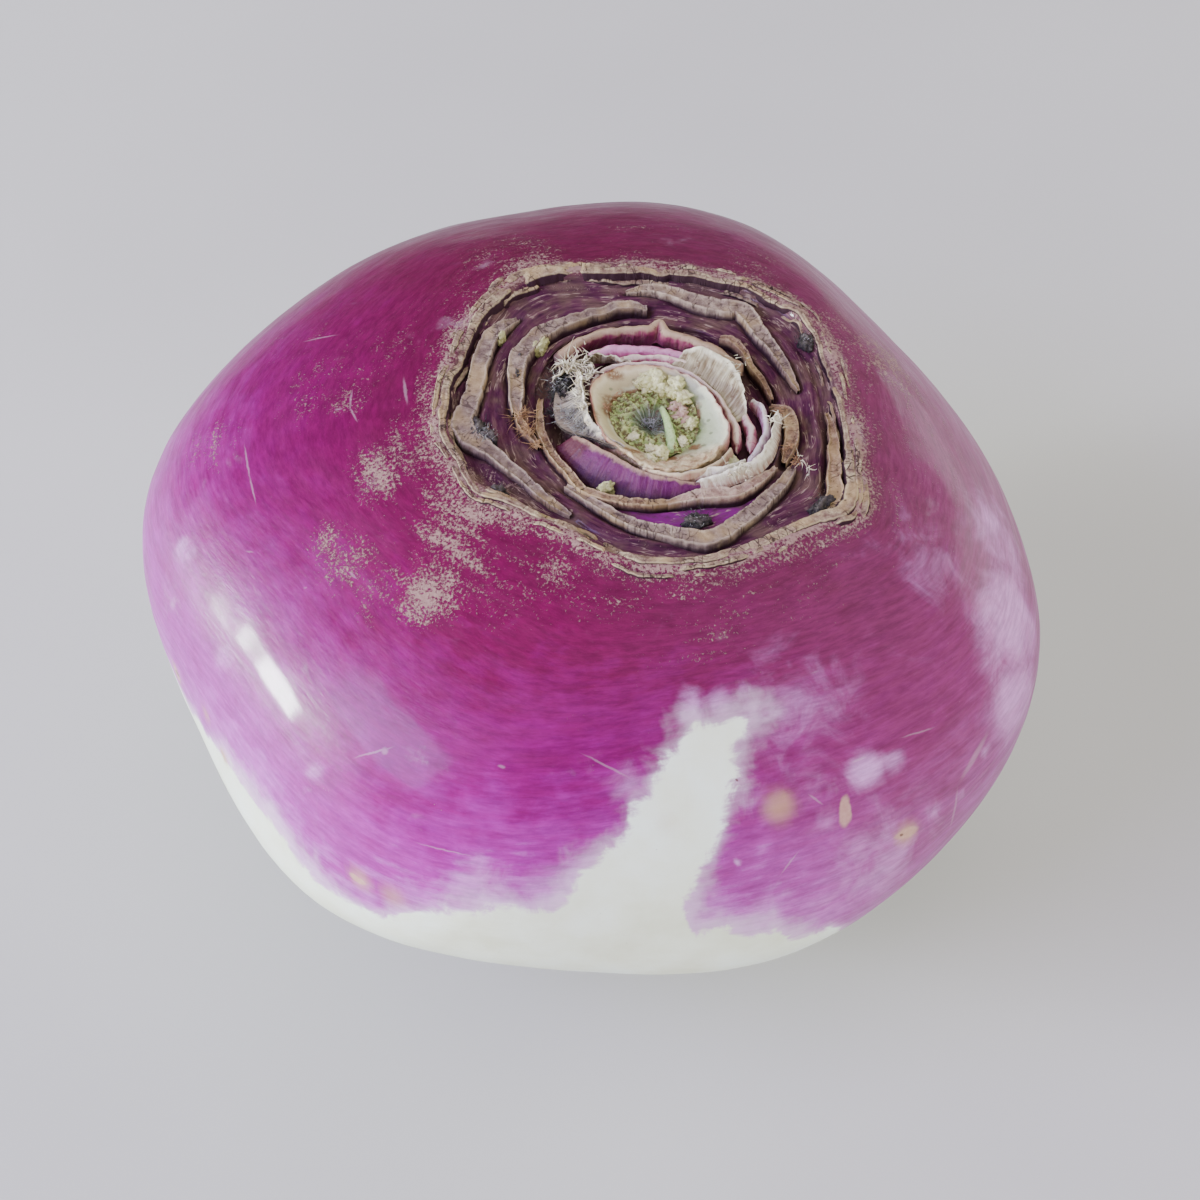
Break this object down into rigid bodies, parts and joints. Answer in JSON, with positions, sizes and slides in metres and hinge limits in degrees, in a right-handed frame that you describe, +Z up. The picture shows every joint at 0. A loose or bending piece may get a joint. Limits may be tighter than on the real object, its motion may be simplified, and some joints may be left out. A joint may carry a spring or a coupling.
{
  "type": "turnip",
  "caption": "Purple-top turnip with its leaves cut off and its tail trimmed, standing on the cut; leaf scars ring the crown.",
  "frame": {"origin": "on the surface that the turnip stands on, under the middle of its outline", "axes": "+Z up through the crown, +X to the right and -Y towards whoever looks at the front"},
  "size_m": [0.0944, 0.0918, 0.0606],
  "materials": {
    "skin": "smooth waxy purple skin, cream below",
    "cut_flesh": "moist pale cut flesh",
    "heart_green": "soft green growing point",
    "stalk": "pink and violet leaf stalk",
    "papery": "dried, papery leaf base"
  },
  "bodies": {
    "root": {"turnip_root": "skin", "stalk_stub_cup": "cut_flesh", "heart_bud": "heart_green", "stalk_stub_front": "stalk", "stalk_stub_back": "stalk", "stalk_stub_outer_back": "stalk", "dry_base_left": "papery", "dry_base_back": "papery", "dry_base_right": "papery"}
  },
  "joints": []
}
